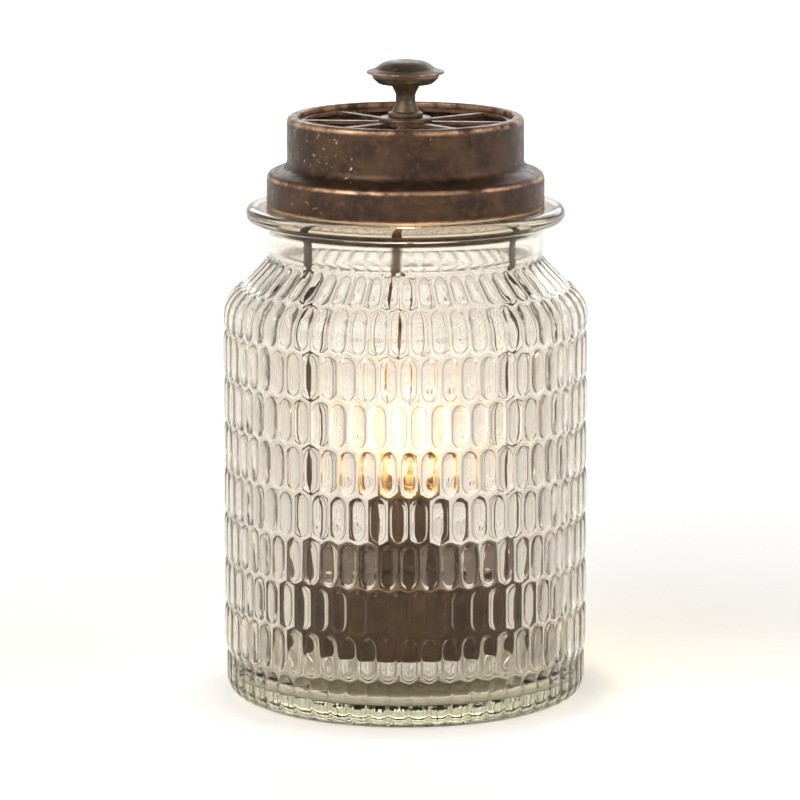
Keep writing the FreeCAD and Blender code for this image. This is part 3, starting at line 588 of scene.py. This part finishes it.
def make_skin(dense, along, rows):
    """The jar's outside: its points in metres, its faces, each point's painted shade, and its end rings."""
    skin, faces = Skin(), []
    rings, uprights = cell_edges(skin, [row[0] for row in rows] + [rows[-1][1]])
    spots, _ = sampled(dense, np.array([(start + end) / 2 for start, end in rows]))
    chance = random.Random(7)
    for number, (start, end) in enumerate(rows):
        strength = {0: LOW_ROW_STRENGTH, len(rows) - 1: TOP_ROW_STRENGTH}.get(number, 1.0)
        for k in range(LENSES):
            angle = EVEN_PHASE + LENS_PITCH * (k + (0 if number % 2 == 0 else 0.5))
            lot = [chance.uniform(-1, 1) for _ in range(3)]
            border = cell_border(rings, uprights, number, k)
            add_lens(skin, faces, border, (angle, (start + end) / 2), LENS_PITCH * spots[number, 0], (start, end),
                     lot, strength)
    coarse = [EVEN_PHASE + LENS_PITCH * k * COARSE / CELL_STEPS for k in range(COLUMNS // COARSE)]
    foot_rings = [[skin.add(a, station) for a in coarse] for station in np.linspace(0, rows[0][0], 8)[:-1]]
    rim_rings = [[skin.add(a, station) for a in coarse] for station in np.linspace(rows[-1][1], along[-1], 30)[1:]]
    for group in (foot_rings, rim_rings):
        for low, high in zip(group, group[1:]):
            faces += ring_faces(low[0], high[0], len(coarse))
    faces += bridge_faces(rings[0][0], foot_rings[-1][0], False)
    faces += bridge_faces(rings[-1][0], rim_rings[0][0], True)
    stations, angles = np.array(skin.stations), np.array(skin.angles)
    inset, fade = depth_field(stations, rows)
    spots, normals = sampled(dense, stations)
    out = np.array(skin.proud) * fade - inset
    r, z = spots[:, 0] + normals[:, 0] * out, spots[:, 1] + normals[:, 1] * out
    points = np.stack([r * np.cos(angles), r * np.sin(angles), z], axis=1) * MM
    return points, faces, skin.shade, (foot_rings[0][0], rim_rings[-1][0])


def ring_grid(spots, normals, angles, field):
    """Vertices in metres, one ring of them for each spot."""
    r = spots[:, :1] + normals[:, :1] * field
    z = spots[:, 1:] + normals[:, 1:] * field
    grid = np.stack([r * np.cos(angles), r * np.sin(angles), z], axis=2)
    return grid.reshape(-1, 3) * MM


def ring_faces(low, high, columns):
    """Faces between two rings of the same number of columns, given their first points."""
    return [(low + k, low + (k + 1) % columns, high + (k + 1) % columns, high + k) for k in range(columns)]


def grid_faces(first, rings, columns):
    """Faces over several rings whose points follow each other, given the first point of the lowest."""
    faces = []
    for i in range(rings - 1):
        faces += ring_faces(first + i * columns, first + (i + 1) * columns, columns)
    return faces


def bridge_faces(fine, coarse, coarse_above):
    """Triangles between a ring of cell columns and one with fewer. coarse_above says which comes second."""
    faces = []
    coarse_columns = COLUMNS // COARSE
    for k in range(coarse_columns):
        here, there = coarse + k, coarse + (k + 1) % coarse_columns
        f = [fine + (k * COARSE + j) % COLUMNS for j in range(COARSE + 1)]
        fan = [(f[0], f[1], here), (f[1], there, here), (f[1], f[2], there)]
        faces += fan if coarse_above else [tuple(reversed(face)) for face in fan]
    return faces


def wavy(spots, angles, amount):
    """Slow waves of pressed glass below the neck, as a displacement for each point of a ring grid."""
    field = np.zeros((len(spots), len(angles)))
    for i, (r, z) in enumerate(spots):
        share = amount * (NECK_WAVES if z > SLOPE_Z + 14 else 1.0)
        for k, a in enumerate(angles):
            where = Vector((r * math.cos(a), r * math.sin(a), z))
            field[i, k] = share * (noise.noise(where / 17) + 0.5 * noise.noise(where / 7))
    return field


def make_jar(material):
    dense = refined(outer_profile(), 0.2)
    along = arc_positions(dense)
    heights = np.maximum.accumulate(np.array(dense)[:, 1] + along * 1e-9)
    outside, faces, shade, (foot_ring, rim_ring) = make_skin(dense, along, lens_rows(along, heights))
    columns = COLUMNS // COARSE
    angles = EVEN_PHASE + TAU * np.arange(columns) / columns
    inner, under = inner_profile()[1:-1], under_profile()[1:-1]
    inner_spots, inner_normals = sampled(inner, arc_positions(inner))
    inside = ring_grid(inner_spots, inner_normals, angles, wavy(inner_spots, angles, INSIDE_WAVES))
    under_spots, under_normals = sampled(under, arc_positions(under))
    bottom = ring_grid(under_spots, under_normals, angles, np.zeros((len(under), columns)))
    inside_at, bottom_at = len(outside), len(outside) + len(inside)
    vertices = np.concatenate([outside, inside, bottom, [[0, 0, FLOOR_Z * MM], [0, 0, RECESS * MM]]])
    floor_middle, under_middle = len(vertices) - 2, len(vertices) - 1
    faces += ring_faces(rim_ring, inside_at, columns)
    faces += grid_faces(inside_at, len(inner), columns)
    faces += grid_faces(bottom_at, len(under), columns)
    faces += ring_faces(bottom_at + len(bottom) - columns, foot_ring, columns)
    for k in range(columns):
        n = (k + 1) % columns
        faces.append((bottom_at - columns + k, bottom_at - columns + n, floor_middle))
        faces.append((bottom_at + n, bottom_at + k, under_middle))
    jar = make_object("glass_jar_pressed", vertices, faces, sharp_degrees=80)
    # Each point's painted shade over the lenses, for the glass material to read.
    edge = jar.data.attributes.new("lens_painted_shade", "FLOAT", "POINT")
    edge.data.foreach_set("value", list(shade) + [0.0] * (len(vertices) - len(shade)))
    return place(jar, "jar", "jar_glass", material, "glass_jar")


# The lid and its knob


def make_lid(material):
    band_in, collar_in = BAND_R - LID_WALL, COLLAR_R - LID_WALL
    corners = [
        (BAND_R, BAND_LOW_Z, 0.3), (BAND_R, BAND_TOP_Z, 3.2), (COLLAR_R, FLARE_TOP_Z, 3.4),
        (COLLAR_R, LID_TOP_Z, 1.9), (MOUTH_R, LID_TOP_Z, 0.8), (MOUTH_R, HEM_Z, 0.2),
        (MOUTH_R + LID_WALL, HEM_Z, 0.2), (MOUTH_R + LID_WALL, LID_TOP_Z - LID_WALL, 0.2),
        (collar_in, LID_TOP_Z - LID_WALL, 1.0), (collar_in, FLARE_TOP_Z - LID_WALL, 4.3),
        (band_in, BAND_TOP_Z - LID_WALL, 2.3), (band_in, BAND_LOW_Z, 0.3),
    ]
    points = refined(rounded(corners, closed=True, steps=7), 2.5, closed=True)
    lid = lathe("lid_shell_spun", points, 224, dent=0.12)
    place(lid, "lid", "aged_bronze", material, "lid_shell")


def make_knob(material):
    dish = [
        (0, STEM_TOP_Z), (DISH_R - 2.6, STEM_TOP_Z, 2.5), (DISH_R, DISH_TOP_Z - 1.6, 1.6),
        (DISH_R, DISH_TOP_Z, 0), (0, DISH_TOP_Z),
    ]
    place(lathe("knob_dish_turned", rounded(dish), 96, closed=False, dent=0.1), "lid", "knob_bronze", material,
          "knob_dish")
    cap = [
        (0, DISH_TOP_Z), (CAP_R, DISH_TOP_Z + 0.1, 0.3), (CAP_R, DISH_TOP_Z + 0.9, 0.3),
        (CAP_R - 3.1, DISH_TOP_Z + 1.9, 3), (CAP_R - 6.9, CAP_TOP_Z - 0.6, 8), (0, CAP_TOP_Z),
    ]
    place(lathe("knob_cap_domed", rounded(cap, steps=10), 112, closed=False, dent=0.12), "lid", "knob_bronze",
          material, "knob_cap")
    middle = (STEM_FOOT_Z + STEM_TOP_Z) / 2
    stem_low, stud_r = size_of("knob_stem")[1], 2.0
    stem = [
        (0, stem_low), (stud_r, stem_low, 0.3), (stud_r, STEM_FOOT_Z), (STEM_FOOT_R, STEM_FOOT_Z, 0.5),
        (STEM_FOOT_R, STEM_FOOT_Z + 1.7, 0.6), (STEM_FOOT_R - 1.4, STEM_FOOT_Z + 2.2, 0.6),
        (3.8, middle - 0.6, 5), (3.8, middle + 2.6, 3), (5.4, STEM_TOP_Z - 0.7, 0.4), (5.4, STEM_TOP_Z),
        (0, STEM_TOP_Z),
    ]
    place(lathe("knob_stem_turned", rounded(stem, steps=8), 72, closed=False, dent=0.12), "lid", "knob_bronze",
          material, "knob_stem")


# The light


def make_base(material):
    inner_r, ceiling = DRUM_R - DRUM_WALL, DRUM_TOP_Z - DRUM_WALL
    hole_r = 5.1
    corners = [
        (DRUM_R, DRUM_LOW_Z, 0.3), (DRUM_R, DRUM_TOP_Z, 2.0), (hole_r, DRUM_TOP_Z, 0.1), (hole_r, ceiling, 0.1),
        (inner_r, ceiling, 0.8), (inner_r, DRUM_LOW_Z, 0.3),
    ]
    points = refined(rounded(corners, closed=True), 4, closed=True)
    place(lathe("battery_housing_spun", points, 160, dent=0.1), "lid", "dark_bronze", material, "battery_housing")


def make_holder(material):
    inner, floor, tail_r, bore_r = HOLDER_R - 1.2, 52.0, 5.0, 3.0
    corners = [
        (tail_r, TAIL_LOW_Z, 0.3), (tail_r, DRUM_TOP_Z), (HOLDER_BASE_R, DRUM_TOP_Z, 0.3),
        (HOLDER_BASE_R, DRUM_TOP_Z + 1.6, 0.8), (HOLDER_R, DRUM_TOP_Z + 2.4, 0.8), (HOLDER_R, HOLDER_TOP_Z, 0.5),
        (inner, HOLDER_TOP_Z, 0.5), (inner, floor), (bore_r, floor, 0.4), (bore_r, TAIL_LOW_Z, 0.3),
    ]
    points = refined(rounded(corners, closed=True), 4, closed=True)
    place(lathe("lamp_holder_turned", points, 96), "lid", "dark_bronze", material, "lamp_holder")


def globe_half(radius, neck):
    """The bulb's outline from its neck to its top."""
    blend, centre_z = 6.0, GLOBE_TOP_Z - GLOBE_R
    side = math.acos((neck + blend) / (radius + blend))
    blend_z = centre_z - (radius + blend) * math.sin(side)
    points = [(neck, GLOBE_LOW_Z + (blend_z - GLOBE_LOW_Z) * k / 4) for k in range(4)]
    points += [(neck + blend - blend * math.cos(side * k / 12), blend_z + blend * math.sin(side * k / 12))
               for k in range(12)]
    for k in range(31):
        a = -side + (math.pi / 2 + side) * k / 30
        points.append((radius * math.cos(a) if k < 30 else 0, centre_z + radius * math.sin(a)))
    return points


def make_bulb(glass, brass, glow):
    outer = globe_half(GLOBE_R, GLOBE_NECK_R)
    inner = globe_half(GLOBE_R - GLOBE_WALL, GLOBE_NECK_R - GLOBE_WALL)
    inner = [(r, z - GLOBE_WALL * max(0, (z - GLOBE_TOP_Z + GLOBE_R) / GLOBE_R)) for r, z in inner]
    globe = lathe("bulb_globe_blown", outer + inner[::-1], 96, closed=True)
    place(globe, "bulb", "bulb_glass", glass, "bulb_globe")
    ridges = []
    pitch, turns, root = 2.8, 6, CAP_THREAD_R - 0.5
    for i in range(turns):
        low = CAP_LOW_Z + i * pitch
        ridges += [(root, low + 0.4, 0.3), (CAP_THREAD_R, low + 1.0, 0.5), (CAP_THREAD_R, low + 1.8, 0.5),
                   (root, low + 2.4, 0.3)]
    skirt = CAP_LOW_Z + turns * pitch
    corners = [(CAP_IN_R, CAP_LOW_Z), (root, CAP_LOW_Z), *ridges, (root, skirt + 0.8, 0.2),
               (CAP_THREAD_R, skirt + 1.4, 0.3), (CAP_THREAD_R, CAP_HEAD_Z, 0.2), (CAP_IN_R, CAP_HEAD_Z, 0.2)]
    place(lathe("bulb_cap_rolled", rounded(corners, closed=True, steps=3), 80), "bulb", "cap_brass", brass,
          "bulb_cap")


def set_material(node, material):
    """A CAD node that keeps its shape gets this material."""
    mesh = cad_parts[node].data
    for i in range(max(1, len(mesh.materials))):
        if i < len(mesh.materials):
            mesh.materials[i] = material
        else:
            mesh.materials.append(material)


# The room


def make_floor():
    """A pale, softly lit table, with a painted contact shadow right under the jar."""
    n = Nodes("pale_floor")
    split = n.add("ShaderNodeSeparateXYZ", {0: n.position()})
    away = n.math("POWER", n.math("ADD", n.math("POWER", split.outputs["X"], 2.0),
                                  n.math("POWER", split.outputs["Y"], 2.0)), 0.5)
    out_of_painted_shadow = n.ramp(away, 50 * MM, 66 * MM)
    tone = n.mix(n.ramp(n.noise(3, 3), 0.3, 0.7), rgb(0.93, 0.93, 0.925), rgb(0.9, 0.9, 0.895))
    # Painted contact shadow: darker floor colour right under the jar.
    tone = n.mix(out_of_painted_shadow, rgb(0.5, 0.49, 0.46), tone)
    glow = n.math("ADD", n.ramp(away, 0.1, 0.5, 0.06, 0.2), n.ramp(away, 0.5, 2.2, 0, 0.6))
    shader = n.principled(Base_Color=tone, Roughness=0.9, Emission_Color=rgb(1, 1, 1), Emission_Strength=glow)
    reach = 30.0
    corners = [(-reach, -reach, 0), (reach, -reach, 0), (reach, reach, 0), (-reach, reach, 0)]
    floor = make_object("floor", corners, [(0, 1, 2, 3)])
    floor.data.materials.append(n.finish(shader.outputs[0]))


def make_world():
    world = bpy.data.worlds.new("studio")
    bpy.context.scene.world = world
    world.use_nodes = True
    tree = world.node_tree
    back = tree.nodes["Background"]
    back.inputs["Strength"].default_value = 1.0
    coordinates = tree.nodes.new("ShaderNodeTexCoord")
    split = tree.nodes.new("ShaderNodeSeparateXYZ")
    tree.links.new(coordinates.outputs["Generated"], split.inputs[0])
    ramp = tree.nodes.new("ShaderNodeValToRGB")
    stops = ramp.color_ramp
    stops.elements[0].position, stops.elements[0].color = 0.2, rgb(1.0, 1.0, 1.0)
    stops.elements[1].position, stops.elements[1].color = 0.65, rgb(0.16, 0.155, 0.15)
    tree.links.new(split.outputs["Z"], ramp.inputs[0])
    tree.links.new(ramp.outputs[0], back.inputs["Color"])


def area_light(name, place_at, target, size, watts, colour=(1, 1, 1)):
    data = bpy.data.lights.new(name, "AREA")
    data.shape = "RECTANGLE"
    data.size, data.size_y = size
    data.energy = watts
    data.color = colour
    lamp = bpy.data.objects.new(name, data)
    lamp.location = place_at
    lamp.rotation_euler = (Vector(target) - Vector(place_at)).to_track_quat("-Z", "Y").to_euler()
    bpy.context.scene.collection.objects.link(lamp)


def bulb_light(watts, filament_z):
    """The lit bulb's light. It rides on the bulb, so it goes where the lid is lifted to."""
    data = bpy.data.lights.new("bulb_light", "POINT")
    data.energy = watts
    data.color = (1.0, 0.74, 0.42)
    data.shadow_soft_size = 6 * MM
    lamp = bpy.data.objects.new("bulb_light", data)
    lamp.location = (0, 0, filament_z)
    bpy.context.scene.collection.objects.link(lamp)
    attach(lamp, "bulb")


def make_camera():
    data = bpy.data.cameras.new("camera")
    data.lens, data.sensor_width = 241.24, 36.0
    data.clip_start, data.clip_end = 0.05, 60
    camera = bpy.data.objects.new("camera", data)
    aside, distance, eye_z, aim_z = -2.12 * MM, 2.0360, 0.4849, 0.11483
    camera.location = (aside, -distance, eye_z)
    target = Vector((aside, 0, aim_z))
    camera.rotation_euler = (target - camera.location).to_track_quat("-Z", "Y").to_euler()
    bpy.context.scene.collection.objects.link(camera)
    bpy.context.scene.camera = camera


make_camera()
make_world()
make_floor()
area_light("key", (-1.1, -1.2, 1.3), (0, 0, 0.12), (1.5, 1.5), 34)
area_light("fill", (1.5, -0.6, 0.9), (0, 0, 0.12), (1.0, 1.4), 10)
area_light("back", (0.3, 2.2, 1.2), (0, 0, 0.1), (2.4, 1.2), 20)
bulb_light(0.42, 0.104)

# The edges given here get worn copper that is also a painted highlight, along the lid's and the knob's rolled
# edges.
bronze = aged_bronze("aged_bronze", rgb(0.03, 0.016, 0.009), rgb(0.07, 0.036, 0.018), rgb(0.15, 0.072, 0.036),
                     edges=((224.4, 1.6), (202.6, 1.1), (191.6, 0.7)))
knob_bronze = aged_bronze("knob_bronze", rgb(0.04, 0.029, 0.02), rgb(0.115, 0.08, 0.052),
                          rgb(0.24, 0.155, 0.085), edges=((242.3, 0.5), (237.6, 0.6)))
dark_bronze = aged_bronze("dark_bronze", rgb(0.026, 0.012, 0.004), rgb(0.065, 0.031, 0.01),
                          rgb(0.17, 0.085, 0.028), metallic=0.75, roughness=0.54, worn=0.0, relief=0.12)
jar_glass = pressed_glass("jar_glass")
bulb_glass = thin_glass("bulb_glass")
brass = plain_metal("cap_brass", rgb(0.83, 0.6, 0.28), rgb(0.4, 0.24, 0.09))
steel = plain_metal("rivet_steel", rgb(0.5, 0.46, 0.4), rgb(0.2, 0.16, 0.12), 0.35)
glow = lit("lit_filament", 30)

make_jar(jar_glass)
make_lid(bronze)
make_knob(knob_bronze)
make_base(dark_bronze)
make_holder(dark_bronze)
make_bulb(bulb_glass, brass, glow)

contact_metal = plain_metal("contact_metal", rgb(0.8, 0.68, 0.42), rgb(0.45, 0.33, 0.18), 0.25)
black_plastic = moulded("black_plastic", rgb(0.018, 0.018, 0.02), rgb(0.05, 0.05, 0.052))
NODE_MATERIALS = {
    bronze: ("vent_grille", "seat_ring"),
    knob_bronze: ("knob_hub_plate",),
    dark_bronze: ("strap_back", "strap_front_left", "strap_front_right"),
    steel: ("strap_rivets_top", "strap_rivets_bottom", "base_plate_screws", "board_screws", "holder_lock_ring"),
    brass: ("knob_lock_washer", "knob_nut"),
    contact_metal: ("flat_contacts", "spring_contacts", "holder_thread_shell", "holder_centre_contact",
                    "bulb_tip_contact"),
    black_plastic: ("base_plate", "battery_cover", "battery_tray", "switch_case"),
    moulded("switch_plastic", rgb(0.5, 0.48, 0.45), rgb(0.35, 0.33, 0.3)): ("switch_slider",),
    moulded("holder_plastic", rgb(0.1, 0.07, 0.05), rgb(0.16, 0.12, 0.09), 0.35): ("holder_insulator",),
    moulded("silicone", rgb(0.72, 0.7, 0.64), rgb(0.6, 0.57, 0.5), 0.45): ("rim_gasket",),
    moulded("foam", rgb(0.03, 0.03, 0.03), rgb(0.07, 0.07, 0.07), 0.9, 700): ("cover_pad",),
    circuit("board_green"): ("circuit_board",),
    moulded("chip_black", rgb(0.012, 0.012, 0.012), rgb(0.04, 0.04, 0.04), 0.4): ("driver_chip",),
    cell_wrap("cell_sleeve"): ("battery_left", "battery_middle", "battery_right"),
    moulded("cap_glass", rgb(0.015, 0.015, 0.02), rgb(0.05, 0.05, 0.06), 0.15): ("bulb_cap_insulator",),
    bulb_glass: ("bulb_stem",),
    glow: ("bulb_filament",),
    plain_metal("support_wire", rgb(0.6, 0.57, 0.52), rgb(0.35, 0.3, 0.25)): ("bulb_support_wires",),
    moulded("lead_red", rgb(0.35, 0.015, 0.015), rgb(0.5, 0.05, 0.04), 0.4): ("lead_positive",),
    moulded("lead_black", rgb(0.015, 0.015, 0.015), rgb(0.05, 0.05, 0.05), 0.4): ("lead_negative",),
}
for material, nodes in NODE_MATERIALS.items():
    for node in nodes:
        set_material(node, material)

bpy.context.scene.view_settings.view_transform = "Standard"
